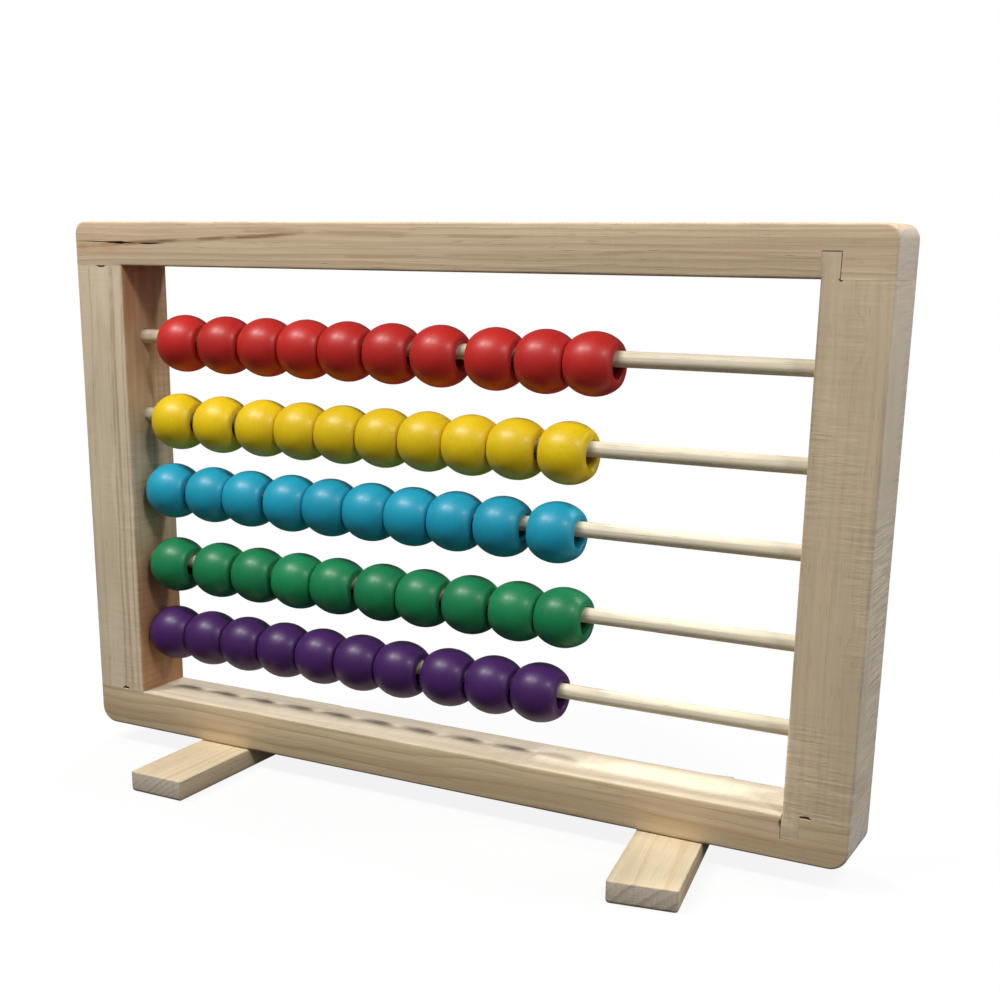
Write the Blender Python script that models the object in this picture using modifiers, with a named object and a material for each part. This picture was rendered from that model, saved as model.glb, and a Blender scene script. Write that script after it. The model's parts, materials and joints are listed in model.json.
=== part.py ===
"""Counting abacus: a wooden frame on two swivelling feet, with five rods of ten beads.

Metres, +Z up. X runs along the rods, Y through the frame from front (-Y) to back (+Y).
The origin is on the surface the abacus stands on, under the middle of the frame.
"""

from math import acos, cos, pi, radians, sin

import bmesh
import bpy
from mathutils import Matrix, Vector

# Frame
FRAME_WIDTH = 0.362
FRAME_HEIGHT = 0.232
BAR_DEPTH = 0.030
STILE_WIDTH = 0.026
TOP_RAIL_HEIGHT = 0.0187
BOTTOM_RAIL_HEIGHT = 0.0180
TOP_CORNER_RADIUS = 0.0055
BOTTOM_CORNER_RADIUS = 0.0075
CORNER_SEGMENTS = 4

# Corner joints: a tongue on each stile end, along its inner side, sits in a groove across the rail
TONGUE_WIDTH = 0.0068
TONGUE_HEIGHT = 0.0092

# Clearances between neighbouring solids
FIT_GAP = 0.0002
FOOT_GAP = 0.0003
BEAD_REST_GAP = 0.0003

# Feet, each held by one screw through its middle
FOOT_LENGTH = 0.126
FOOT_WIDTH = 0.0275
FOOT_THICKNESS = 0.0094
FOOT_OFFSET = 0.108
LEFT_FOOT_TURN = radians(0.0)
RIGHT_FOOT_TURN = radians(9.8)
SCREW_HOLE_RADIUS = 0.0022
SCREW_HEAD_RADIUS = 0.0044
SCREW_HEAD_DEPTH = 0.0026
PILOT_HOLE_RADIUS = 0.0013
PILOT_HOLE_DEPTH = 0.012
SCREW_SIDES = 12

# Rods, glued into blind holes in the stiles
ROD_RADIUS = 0.00315
ROD_SIDES = 12
ROD_Y = -0.0012
ROD_SOCKET_DEPTH = 0.012

# Beads: drilled balls, a little drawn out along their bore and cut flat at both ends
BEAD_RADIUS = 0.0125
BEAD_HALF_AXIS = 0.0138
BEAD_LENGTH = 0.0204
BEAD_BORE_RADIUS = 0.00575
BEAD_DROP = 0.0023
BEAD_STEPS = 12
BEAD_ARC_SEGMENTS = 6
BEADS_PER_ROD = 10

# Colours and how rough they are
WOOD = (0.66, 0.52, 0.34, 1.0)
ROD_WOOD = (0.78, 0.68, 0.47, 1.0)
WOOD_ROUGHNESS = 0.6
ROD_ROUGHNESS = 0.55
PAINT_ROUGHNESS = 0.35

# How far cutting tools reach past a surface, and how near two points count as one
OVERSHOOT = 0.004
TOLERANCE = 0.00001

# Each row from the top: name, paint, rod height over the bottom rail's underside, and the
# gaps wider than BEAD_REST_GAP, by the number of the bead to their right. Bead 1 is at the left.
ROWS = (
    (
        "red",
        (0.50, 0.028, 0.034, 1.0),
        0.1824,
        {1: 0.0130, 2: 0.0022, 3: 0.0013, 4: 0.0004, 6: 0.0015, 7: 0.0025, 8: 0.0046, 9: 0.0016},
    ),
    (
        "yellow",
        (0.75, 0.51, 0.017, 1.0),
        0.1476,
        {1: 0.0082, 2: 0.0030, 3: 0.0027, 10: 0.0022},
    ),
    (
        "blue",
        (0.016, 0.33, 0.52, 1.0),
        0.1157,
        {1: 0.0030, 2: 0.0022, 4: 0.0019, 9: 0.0014, 10: 0.0037},
    ),
    (
        "green",
        (0.016, 0.24, 0.095, 1.0),
        0.0812,
        {1: 0.0034, 2: 0.0043, 3: 0.0013, 4: 0.0016, 6: 0.0027, 8: 0.0021, 9: 0.0015},
    ),
    (
        "purple",
        (0.055, 0.018, 0.13, 1.0),
        0.0481,
        {1: 0.0010, 8: 0.0028, 9: 0.0014, 10: 0.0010},
    ),
)

# Derived places
RAIL_BOTTOM = FOOT_THICKNESS + FOOT_GAP
FRAME_TOP = RAIL_BOTTOM + FRAME_HEIGHT
OPENING_BOTTOM = RAIL_BOTTOM + BOTTOM_RAIL_HEIGHT
OPENING_TOP = FRAME_TOP - TOP_RAIL_HEIGHT
INNER_X = FRAME_WIDTH / 2 - STILE_WIDTH


def clear_scene():
    for old in list(bpy.data.objects):
        bpy.data.objects.remove(old, do_unlink=True)


def new_collection(name):
    made = bpy.data.collections.new(name)
    bpy.context.scene.collection.children.link(made)
    return made


def paint(name, colour, roughness):
    made = bpy.data.materials.new(name)
    made.use_nodes = True
    shader = made.node_tree.nodes["Principled BSDF"]
    shader.inputs["Base Color"].default_value = colour
    shader.inputs["Roughness"].default_value = roughness
    shader.inputs["Metallic"].default_value = 0.0
    return made


def add_object(name, mesh, collection, material=None):
    made = bpy.data.objects.new(name, mesh)
    collection.objects.link(made)
    if material:
        mesh.materials.clear()
        mesh.materials.append(material)
    return made


def box_mesh(name, low, high):
    """A box between two corners."""
    low, high = Vector(low), Vector(high)
    bm = bmesh.new()
    place = Matrix.Translation((low + high) / 2) @ Matrix.Diagonal((*(high - low), 1.0))
    bmesh.ops.create_cube(bm, size=1.0, matrix=place)
    mesh = bpy.data.meshes.new(name)
    bm.to_mesh(mesh)
    bm.free()
    return mesh


def round_corners(mesh, z, radius):
    """Rounds the box's two edges that run front to back at this height."""
    bm = bmesh.new()
    bm.from_mesh(mesh)
    edges = [
        e
        for e in bm.edges
        if abs(e.verts[0].co.y - e.verts[1].co.y) > BAR_DEPTH / 2
        and all(abs(v.co.z - z) < TOLERANCE for v in e.verts)
    ]
    bmesh.ops.bevel(
        bm,
        geom=edges,
        offset=radius,
        segments=CORNER_SEGMENTS,
        profile=0.5,
        affect="EDGES",
    )
    bm.to_mesh(mesh)
    bm.free()


def add_cylinder(bm, start, end, radius, end_radius=None, sides=ROD_SIDES):
    """A closed cylinder or cone frustum from start to end."""
    start, end = Vector(start), Vector(end)
    turn = (end - start).to_track_quat("Z", "Y").to_matrix().to_4x4()
    bmesh.ops.create_cone(
        bm,
        cap_ends=True,
        segments=sides,
        radius1=radius,
        radius2=radius if end_radius is None else end_radius,
        depth=(end - start).length,
        matrix=Matrix.Translation((start + end) / 2) @ turn,
    )


def cutter(name, mesh):
    made = add_object(name, mesh, cutters)
    made.hide_render = True
    made.display_type = "WIRE"
    return made


def boolean(target, other, operation):
    made = target.modifiers.new(operation.lower(), "BOOLEAN")
    made.operation = operation
    made.object = other
    made.solver = "EXACT"


def rod_z(height):
    return RAIL_BOTTOM + height


def tongue_box(side, end):
    """The tongue's corners: side is -1 for the left stile, end is -1 for its lower end."""
    inner, outer = side * INNER_X, side * (INNER_X + TONGUE_WIDTH)
    if end > 0:
        z = OPENING_TOP - TONGUE_HEIGHT / 2, OPENING_TOP + TONGUE_HEIGHT
    else:
        z = OPENING_BOTTOM - TONGUE_HEIGHT, OPENING_BOTTOM + TONGUE_HEIGHT / 2
    return (min(inner, outer), -BAR_DEPTH / 2, z[0]), (max(inner, outer), BAR_DEPTH / 2, z[1])


def groove_cutter(name, side, end):
    """Cuts the groove in a rail that takes a stile's tongue, open at the front and the back."""
    low, high = (Vector(c) for c in tongue_box(side, end))
    low -= Vector((FIT_GAP, BAR_DEPTH, FIT_GAP))
    high += Vector((FIT_GAP, BAR_DEPTH, FIT_GAP))
    return cutter(name, box_mesh(name, low, high))


def socket_cutter(name, side):
    """The blind holes in a stile that take the five rods' ends."""
    bm = bmesh.new()
    start = side * (INNER_X - OVERSHOOT)
    end = side * (INNER_X + ROD_SOCKET_DEPTH + FIT_GAP)
    for _, _, height, _ in ROWS:
        z = rod_z(height)
        add_cylinder(bm, (start, ROD_Y, z), (end, ROD_Y, z), ROD_RADIUS + FIT_GAP)
    mesh = bpy.data.meshes.new(name)
    bm.to_mesh(mesh)
    bm.free()
    return cutter(name, mesh)


def stile_mesh(name, side, low_z, high_z):
    x = side * INNER_X, side * FRAME_WIDTH / 2
    return box_mesh(name, (min(x), -BAR_DEPTH / 2, low_z), (max(x), BAR_DEPTH / 2, high_z))


def rail_mesh(name, low_z, high_z, corner_z, corner_radius):
    half = FRAME_WIDTH / 2
    mesh = box_mesh(name, (-half, -BAR_DEPTH / 2, low_z), (half, BAR_DEPTH / 2, high_z))
    round_corners(mesh, corner_z, corner_radius)
    return mesh


def make_right_stile():
    name = "right_stile"
    low, high = OPENING_BOTTOM + FIT_GAP, OPENING_TOP - FIT_GAP
    stile = add_object(name, stile_mesh(name, 1, low, high), parts, wood)
    for end, label in ((1, "upper"), (-1, "lower")):
        tongue = f"{name}_{label}_tongue"
        boolean(stile, cutter(tongue, box_mesh(tongue, *tongue_box(1, end))), "UNION")
    boolean(stile, socket_cutter("right_rod_sockets", 1), "DIFFERENCE")
    return stile


def make_top_rail_and_left_stile():
    """These two bars are glued at their tongue, and are one solid here."""
    name = "top_rail_and_left_stile"
    mesh = rail_mesh(name, OPENING_TOP, FRAME_TOP, FRAME_TOP, TOP_CORNER_RADIUS)
    rail = add_object(name, mesh, parts, wood)
    low = OPENING_BOTTOM + FIT_GAP
    body = stile_mesh("left_stile_body", -1, low, OPENING_TOP + TONGUE_HEIGHT / 2)
    boolean(rail, cutter("left_stile_body", body), "UNION")
    lower = "left_stile_lower_tongue"
    boolean(rail, cutter(lower, box_mesh(lower, *tongue_box(-1, -1))), "UNION")
    boolean(rail, groove_cutter("top_right_groove", 1, 1), "DIFFERENCE")
    boolean(rail, socket_cutter("left_rod_sockets", -1), "DIFFERENCE")
    return rail


def make_bottom_rail():
    name = "bottom_rail"
    mesh = rail_mesh(name, RAIL_BOTTOM, OPENING_BOTTOM, RAIL_BOTTOM, BOTTOM_CORNER_RADIUS)
    rail = add_object(name, mesh, parts, wood)
    for side, label in ((-1, "left"), (1, "right")):
        boolean(rail, groove_cutter(f"bottom_{label}_groove", side, -1), "DIFFERENCE")
    bm = bmesh.new()
    for side in (-1, 1):
        x = side * FOOT_OFFSET
        low, high = RAIL_BOTTOM - OVERSHOOT, RAIL_BOTTOM + PILOT_HOLE_DEPTH
        add_cylinder(bm, (x, 0, low), (x, 0, high), PILOT_HOLE_RADIUS, sides=SCREW_SIDES)
    pilots = bpy.data.meshes.new("screw_pilot_holes")
    bm.to_mesh(pilots)
    bm.free()
    boolean(rail, cutter("screw_pilot_holes", pilots), "DIFFERENCE")
    return rail


def make_foot(name, side, turn):
    """A flat bar under the bottom rail that turns on its countersunk screw."""
    half = Vector((FOOT_WIDTH / 2, FOOT_LENGTH / 2, 0))
    mesh = box_mesh(name, -half, half + Vector((0, 0, FOOT_THICKNESS)))
    foot = add_object(name, mesh, parts, wood)
    foot.location = (side * FOOT_OFFSET, 0, 0)
    foot.rotation_euler = (0, 0, turn)
    shaft, head = bmesh.new(), bmesh.new()
    start = (0, 0, -OVERSHOOT)
    top = (0, 0, FOOT_THICKNESS + OVERSHOOT)
    add_cylinder(shaft, start, top, SCREW_HOLE_RADIUS, sides=SCREW_SIDES)
    slope = (SCREW_HEAD_RADIUS - SCREW_HOLE_RADIUS) / SCREW_HEAD_DEPTH
    wide = SCREW_HEAD_RADIUS + slope * OVERSHOOT
    add_cylinder(head, start, (0, 0, SCREW_HEAD_DEPTH), wide, SCREW_HOLE_RADIUS, SCREW_SIDES)
    for label, bm in (("shaft", shaft), ("countersink", head)):
        hole = bpy.data.meshes.new(f"{name}_{label}")
        bm.to_mesh(hole)
        bm.free()
        tool = cutter(f"{name}_{label}", hole)
        tool.parent = foot
        boolean(foot, tool, "DIFFERENCE")
    return foot


def make_rod(name, height):
    bm = bmesh.new()
    half = INNER_X + ROD_SOCKET_DEPTH
    add_cylinder(bm, (-half, 0, 0), (half, 0, 0), ROD_RADIUS)
    mesh = bpy.data.meshes.new(name)
    bm.to_mesh(mesh)
    bm.free()
    rod = add_object(name, mesh, parts, rod_wood)
    rod.location = (0, ROD_Y, rod_z(height))
    return rod


def bead_profile():
    """Half the bead's section as (radius, place on its axis), down the outside and up the bore."""
    flat = acos(BEAD_LENGTH / 2 / BEAD_HALF_AXIS)
    points = []
    for i in range(BEAD_ARC_SEGMENTS + 1):
        angle = flat + (pi - 2 * flat) * i / BEAD_ARC_SEGMENTS
        points.append((BEAD_RADIUS * sin(angle), BEAD_HALF_AXIS * cos(angle)))
    points.append((BEAD_BORE_RADIUS, -BEAD_LENGTH / 2))
    points.append((BEAD_BORE_RADIUS, BEAD_LENGTH / 2))
    return points


def bead_mesh(name, material):
    points = bead_profile()
    mesh = bpy.data.meshes.new(name)
    count = len(points)
    edges = [(i, (i + 1) % count) for i in range(count)]
    mesh.from_pydata([(r, 0, z) for r, z in points], edges, [])
    mesh.materials.append(material)
    return mesh


def make_bead(name, mesh, x, z):
    """A bead hanging from its rod, turned so that its bore runs along X."""
    bead = bpy.data.objects.new(name, mesh)
    parts.objects.link(bead)
    bead.location = (x, ROD_Y, z)
    bead.rotation_euler = (0, pi / 2, 0)
    screw = bead.modifiers.new("turn", "SCREW")
    screw.axis = "Z"
    screw.steps = BEAD_STEPS
    screw.render_steps = BEAD_STEPS
    screw.use_merge_vertices = True
    screw.merge_threshold = TOLERANCE
    screw.use_smooth_shade = True
    return bead


def make_row(colour_name, colour, height, gaps):
    make_rod(f"{colour_name}_rod", height)
    mesh = bead_mesh(f"{colour_name}_bead", paint(f"{colour_name}_paint", colour, PAINT_ROUGHNESS))
    end = -INNER_X
    for number in range(1, BEADS_PER_ROD + 1):
        x = end + gaps.get(number, BEAD_REST_GAP) + BEAD_LENGTH / 2
        make_bead(f"{colour_name}_bead_{number:02d}", mesh, x, rod_z(height) - BEAD_DROP)
        end = x + BEAD_LENGTH / 2


clear_scene()
parts = new_collection("abacus")
cutters = new_collection("abacus_cutters")
wood = paint("frame_wood", WOOD, WOOD_ROUGHNESS)
rod_wood = paint("rod_wood", ROD_WOOD, ROD_ROUGHNESS)

make_top_rail_and_left_stile()
make_right_stile()
make_bottom_rail()
make_foot("left_foot", -1, LEFT_FOOT_TURN)
make_foot("right_foot", 1, RIGHT_FOOT_TURN)
for row in ROWS:
    make_row(*row)
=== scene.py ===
"""Looks of the counting abacus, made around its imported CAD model. Metres, +Z up."""

import json
from math import acos, cos, pi, radians, sin, tau
from random import Random

import bmesh
import bpy
from mathutils import Matrix, Vector, noise


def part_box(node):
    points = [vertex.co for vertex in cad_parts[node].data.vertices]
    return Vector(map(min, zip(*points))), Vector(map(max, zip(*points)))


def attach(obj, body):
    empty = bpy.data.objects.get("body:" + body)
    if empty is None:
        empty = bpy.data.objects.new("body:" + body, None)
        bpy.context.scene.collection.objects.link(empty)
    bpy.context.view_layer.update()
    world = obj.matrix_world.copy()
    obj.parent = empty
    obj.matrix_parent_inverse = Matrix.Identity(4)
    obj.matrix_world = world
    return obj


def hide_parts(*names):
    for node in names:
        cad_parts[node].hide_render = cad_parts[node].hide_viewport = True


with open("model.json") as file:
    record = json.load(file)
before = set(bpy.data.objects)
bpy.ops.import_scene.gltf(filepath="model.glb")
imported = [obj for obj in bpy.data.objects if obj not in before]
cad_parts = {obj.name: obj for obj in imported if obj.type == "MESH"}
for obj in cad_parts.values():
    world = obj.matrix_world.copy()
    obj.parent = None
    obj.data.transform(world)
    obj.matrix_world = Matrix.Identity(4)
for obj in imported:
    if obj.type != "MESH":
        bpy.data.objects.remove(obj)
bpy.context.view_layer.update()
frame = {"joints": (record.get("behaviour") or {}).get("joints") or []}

MM = 0.001

# Camera
CAMERA_PLACE = (0.2966, -0.5218, 0.2326)
CAMERA_YAW = radians(28.541)
CAMERA_PITCH = radians(15.443)
CAMERA_ROLL = radians(0.599)
CAMERA_LENS = 52.574
CAMERA_SHIFT = (0.030, 0.150)

# Frame, read from the CAD nodes and finished with the sizes that they don't tell
TOP_RAIL_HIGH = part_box("top_rail_and_left_stile")[1]
BOTTOM_RAIL_LOW, BOTTOM_RAIL_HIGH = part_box("bottom_rail")
HALF_WIDTH = TOP_RAIL_HIGH.x
HALF_DEPTH = TOP_RAIL_HIGH.y
FRAME_TOP = TOP_RAIL_HIGH.z
FRAME_BOTTOM = BOTTOM_RAIL_LOW.z
TOP_RAIL_HEIGHT = 18.7 * MM
OPENING_TOP = FRAME_TOP - TOP_RAIL_HEIGHT
OPENING_BOTTOM = BOTTOM_RAIL_HIGH.z
INNER_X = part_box("right_stile")[0].x
TOP_CORNER_RADIUS = 5.5 * MM
BOTTOM_CORNER_RADIUS = 7.5 * MM
CORNER_SEGMENTS = 8
EASED_EDGE = 1.1 * MM
EASED_SEGMENTS = 3
TONGUE_WIDTH = 6.8 * MM
TONGUE_HEIGHT = 9.2 * MM
HIDDEN_TONGUE_DEPTH = 4 * MM
HAIRLINE = 0.05 * MM
CRACK_START = 2 * MM
CRACK_TAPER = 0.3
CHIP_ROUGHNESS = 0.35
SHARP_ANGLE = radians(32)
PAST = 5 * MM

# Rods and beads
ROW_NAMES = ("red", "yellow", "blue", "green", "purple")
BEADS_PER_ROD = 10
ROD_RADIUS = 3.15 * MM
ROD_SIDES = 40
ROD_RINGS = 90
ROD_END_BEVEL = 0.5 * MM
ROD_SHRINKAGE = 0.008
ROD_UNEVENNESS = 0.010
ROD_BEND = (0.06 * MM, 0.05 * MM)
ROD_HOLE_RADIUS = ROD_RADIUS + 0.12 * MM
ROD_HOLE_DEPTH = 12.5 * MM
ROD_HOLE_MOUTH = 0.35 * MM
HOLE_SIDES = 32
BORE_RADIUS = 5.5 * MM
BEAD_SIDES = 48
BEAD_HALF_AXIS = 13.8 * MM
BEAD_ARC_STEPS = 10
BEAD_END_INSET = 0.08 * MM
BEAD_UNEVENNESS = 0.010
BEAD_TILT = radians(0.2)
BEAD_SWING = radians(0.9)
RIM_ROUND = 2.2 * MM
RIM_REACH = 0.55
MOUTH_ROUND = 1.1 * MM

# Feet and their screws
FOOT_SIZE = (27.5 * MM, 126 * MM, 9.4 * MM)
FOOT_TURNS = {"left_foot": 0.0, "right_foot": radians(9.8)}
FOOT_EDGE = 1.7 * MM
FOOT_TOP_SHARE = 0.35
FOOT_UPRIGHT_SHARE = 0.6
FOOT_SEGMENTS = 4
FOOT_SLICES = (5, 16)
FOOT_WAVE = 0.10 * MM
FOOT_UNEVENNESS = 0.008
HOLE_RADIUS = 2.2 * MM
COUNTERSINK_RADIUS = 4.4 * MM
COUNTERSINK_DEPTH = 2.6 * MM
SCREW_HEAD = 0.35 * MM
SCREW_LENGTH_IN_RAIL = 11 * MM
SCREW_PITCH = 1.6 * MM
SCREW_CORE = 1.15 * MM
SCREW_RIDGE = 0.45 * MM
SCREW_SIDES = 28
SCREW_STEPS = 120
SCREW_RECESS = (2.3 * MM, 0.55 * MM, 1.5 * MM)

# Lights: place, side of the square, power in watts and colour
WARM = (1.0, 0.975, 0.94)
MILD = (1.0, 0.98, 0.95)
COOL = (0.95, 0.98, 1.0)
LIGHTS = {
    "key_light": ((-0.605, -0.506, 1.09), 0.24, 8.4, WARM),
    "left_front_light": ((-0.22, -0.57, 1.06), 0.20, 4.2, WARM),
    "right_front_light": ((0.80, -0.60, 1.09), 0.16, 5.2, MILD),
    "right_back_light": ((0.62, 0.34, 1.18), 0.16, 6.2, MILD),
    "back_light": ((-0.24, 0.27, 1.20), 0.12, 5.6, MILD),
    "right_wall_light": ((1.40, -0.22, 0.62), 1.0, 4.2, COOL),
}
LIGHT_TARGET = (0, 0, 0.12)


# ---------------------------------------------------------------- node graphs

NORMAL_OUTPUT = 1
OBJECT_OUTPUT = 3


class Graph:
    """Short calls for a material's nodes. Sockets given as inputs are linked, numbers are set."""

    def __init__(self, name):
        self.material = bpy.data.materials.new(name)
        self.material.use_nodes = True
        self.tree = self.material.node_tree
        self.shader = self.tree.nodes["Principled BSDF"]

    def put(self, socket, value):
        if isinstance(value, bpy.types.NodeSocket):
            self.tree.links.new(value, socket)
        else:
            socket.default_value = value

    def node(self, kind, *inputs, out=0, named=None, **settings):
        made = self.tree.nodes.new("ShaderNode" + kind)
        for key, value in settings.items():
            setattr(made, key, value)
        for socket, value in zip(made.inputs, inputs):
            self.put(socket, value)
        for key, value in (named or {}).items():
            self.put(made.inputs[key], value)
        return made.outputs[out]

    def math(self, operation, *inputs):
        return self.node("Math", *inputs, operation=operation)

    def add(self, a, b):
        return self.math("ADD", a, b)

    def subtract(self, a, b):
        return self.math("SUBTRACT", a, b)

    def times(self, *factors):
        product = factors[0]
        for factor in factors[1:]:
            product = self.math("MULTIPLY", product, factor)
        return product

    def size(self, value):
        return self.math("ABSOLUTE", value)

    def line(self, value, slope, start):
        return self.math("MULTIPLY_ADD", value, slope, start)

    def vary(self, value, contrast):
        """A factor that is 1 where the value is a half, and differs by the contrast from end to end."""
        return self.line(value, contrast, 1.0 - contrast / 2)

    def ease(self, value, low, high, start=0.0, end=1.0):
        """A smooth step: start up to low, end from high on."""
        return self.node("MapRange", value, low, high, start, end, interpolation_type="SMOOTHSTEP")

    def split(self, vector):
        return tuple(self.node("SeparateXYZ", vector).node.outputs)

    def join(self, x, y, z):
        return self.node("CombineXYZ", x, y, z)

    def length(self, vector):
        return self.node("VectorMath", vector, operation="LENGTH", out=1)

    def millimetres(self):
        """The place as x, y and z in millimetres from the piece's origin."""
        place = self.node("TexCoord", out=OBJECT_OUTPUT)
        return self.split(self.node("VectorMath", place, operation="SCALE", named={"Scale": 1 / MM}))

    def noise(self, place, scales, detail=2.0, roughness=0.5, out=0):
        """Noise over a place of three numbers, each with its own count of features a millimetre."""
        vector = self.join(*[self.times(value, scale) for value, scale in zip(place, scales)])
        values = {"Scale": 1.0, "Detail": detail, "Roughness": roughness}
        return self.node("TexNoise", vector, out=out, named=values)

    def mix(self, factor, a, b, blend="MIX"):
        made = self.tree.nodes.new("ShaderNodeMix")
        made.data_type = "RGBA"
        made.blend_type = blend
        for index, value in ((0, factor), (6, a), (7, b)):
            self.put(made.inputs[index], value)
        return made.outputs[2]

    def dim(self, colour, factor):
        """The colour times a number."""
        return self.mix(1.0, colour, self.join(factor, factor, factor), "MULTIPLY")

    def finish(self, colour, roughness, height, distance, strength=1.0, **constants):
        self.put(self.shader.inputs["Base Color"], colour)
        self.put(self.shader.inputs["Roughness"], roughness)
        for key, value in constants.items():
            self.shader.inputs[key.replace("_", " ")].default_value = value
        named = {"Height": height, "Strength": strength, "Distance": distance}
        self.put(self.shader.inputs["Normal"], self.node("Bump", named=named))
        return self.material


def rgb(red, green, blue):
    return (red, green, blue, 1.0)


# ---------------------------------------------------------------- wood

# Features a millimetre in the wood's noises, along the grain and across it
DRIFT_GRAIN = (0.009, 0.03)
RING_GRAIN = (0.03, 0.5)
BAND_GRAIN = (0.004, 0.085)
CLOUD_GRAIN = (0.02, 0.06)
FIBRE_GRAIN = (0.022, 1.5)
FLECK_GRAIN = (0.11, 2.6)
SAW_GRAIN = (0.9, 0.05)
SAWN_GRAIN = (0.013, 0.035)
STAIN_GRAIN = (0.012, 0.2)
STREAK_GRAIN = (0.006, 0.16)
PATCH_GRAIN = (0.03, 0.12)
BREAK_GRAIN = (0.05, 0.1)
WORN_GRAIN = (0.03, 0.2)
PORE_GRAIN = (0.4, 2.2)

SEED_STEP = 317.0
KNOT_STRETCH = 0.55
STAIN_SWING = 8.0
STAIN_EDGE = 1.5
PATCH_SWING = 60.0
SCAR_SWING = 6.0
BLUSH_SHARE = 0.55
WOOD_BUMP = 0.16 * MM


class Grain:
    """Where a point lies along and across the grain, in millimetres from the bar's middle."""

    def __init__(self, graph, axis, seed):
        x, y, z = graph.millimetres()
        nx, ny, nz = graph.split(graph.node("TexCoord", out=NORMAL_OUTPUT))
        self.graph = graph
        self.along, self.u, self.v, self.along_normal, self.u_normal = {
            "X": (x, z, y, nx, nz),
            "Y": (y, x, z, ny, nx),
            "Z": (z, x, y, nz, nx),
        }[axis]
        self.start = graph.add(self.along, seed * SEED_STEP)

    def noise(self, scales, detail=2.0, roughness=0.5, out=0):
        lengthwise, across = scales
        place = (self.start, self.u, self.v)
        return self.graph.noise(place, (lengthwise, across, across), detail, roughness, out)


def growth_rings(g, grain, heart, drift, look):
    """How much of the wood at a point is late wood, which is the dark part of each ring.

    A knot is (along, u, v, size, push): it pushes the rings around it outwards.
    """
    swing = look.get("wander", 9.0)
    du = g.line(drift[0], swing, g.subtract(grain.u, heart[0] + swing / 2))
    dv = g.line(drift[1], swing, g.subtract(grain.v, heart[1] + swing / 2))
    radius = g.math("SQRT", g.add(g.times(du, du), g.times(dv, dv)))
    for knot_along, knot_u, knot_v, size, push in look.get("knots", ()):
        away = g.join(
            g.times(g.subtract(grain.along, knot_along), KNOT_STRETCH),
            g.subtract(grain.u, knot_u),
            g.subtract(grain.v, knot_v),
        )
        radius = g.add(radius, g.ease(g.length(away), 0.0, size, push, 0.0))
    rings = g.math("DIVIDE", radius, look.get("ring_width", 3.2))
    count = g.add(rings, g.times(grain.noise(RING_GRAIN), 0.35))
    phase = g.math("FRACT", count)
    each = g.node("TexWhiteNoise", named={"W": g.math("FLOOR", count)}, noise_dimensions="1D")
    late = g.times(g.ease(phase, 0.30, 0.90), g.ease(phase, 0.90, 1.0, 1.0, 0.0))
    return g.times(late, g.line(each, 0.8, 0.2))


def saw_marks(g, grain, other_faces):
    """Lines across the grain, in places. The faces that u doesn't point out of have fewer."""
    places = g.ease(grain.noise(SAWN_GRAIN, 1.0), 0.34, 0.62)
    faces = g.ease(g.size(grain.u_normal), 0.3, 0.8, other_faces, 1.0)
    return g.times(g.subtract(grain.noise(SAW_GRAIN, 3.0, 0.7), 0.5), g.times(places, faces))


def add_stain(g, grain, colour, low, high, tint, share):
    """A stain where u is between low and high, ragged along the grain."""
    place = g.line(grain.noise(STAIN_GRAIN, 3.0), STAIN_SWING, g.subtract(grain.u, STAIN_SWING / 2))
    above = g.ease(place, low - STAIN_EDGE, low + STAIN_EDGE)
    below = g.ease(place, high - STAIN_EDGE, high + STAIN_EDGE, 1.0, 0.0)
    return g.mix(g.times(above, below, share), colour, tint)


def add_face_tint_and_light(g, grain, colour, tint, share, plain):
    """A colour for the face that u points out of, weaker nearer than plain to the middle.

    It is partly that face's own wood tone and partly painted light and shade: the face is made lighter or
    darker as the light falls on it.
    """
    inside = g.ease(grain.u_normal, 0.45, 0.85)
    if plain:
        ragged = g.line(grain.noise(PATCH_GRAIN), PATCH_SWING, g.subtract(grain.along, 40.0))
        inside = g.times(inside, g.ease(g.size(ragged), plain * 0.3, plain, 0.30, 1.0))
    streaks = g.ease(grain.noise(STREAK_GRAIN, 3.0), 0.30, 0.60, 0.62, 1.0)
    return g.mix(g.times(inside, streaks, share), colour, tint)


def add_scar(g, grain, colour, drift, start, end, first_u, slope, width, tint, share):
    """A wavy line along the grain from start to end, which breaks off and starts again."""
    path = g.line(g.subtract(grain.along, start), slope, first_u)
    path = g.line(g.subtract(drift[2], 0.5), SCAR_SWING, path)
    aside = g.size(g.subtract(grain.u, path))
    breaks = g.ease(grain.noise(BREAK_GRAIN), 0.36, 0.52, 0.25, 1.0)
    line = g.times(g.ease(aside, width * 0.3, width, 1.0, 0.0), breaks)
    fade = g.times(g.ease(grain.along, end - 25.0, end, 1.0, 0.0), g.ease(grain.along, start, start + 4.0))
    return g.mix(g.times(line, fade, share), colour, tint)


def edge_wear(g, grain, half):
    """A factor near 1: handling darkens the edges a little, and wears them pale in places."""
    from_edges = g.math(
        "MAXIMUM",
        g.subtract(half[0], g.size(grain.u)),
        g.subtract(half[1], g.size(grain.v)),
    )
    worn = g.subtract(grain.noise(WORN_GRAIN, 3.0), 0.56)
    return g.line(g.times(g.ease(from_edges, 0.3, 2.4, 1.0, 0.0), worn), 0.9, 1.0)


def end_grain(g, grain, seed, late, pores, look):
    """The colour of the ends, which are darker and greyer, with open pores and saw lines."""
    pale = look.get("end_pale", rgb(0.68, 0.59, 0.475))
    dark = look.get("end_dark", rgb(0.42, 0.35, 0.275))
    colour = g.dim(g.mix(g.times(late, 0.75), pale, dark), g.line(pores, 0.75, 0.62))
    lines = g.noise((grain.u, grain.v, seed * 3.7), (1.1, 0.06, 1.0), 2.0, 0.7)
    return g.dim(colour, g.vary(lines, 0.34))


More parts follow.
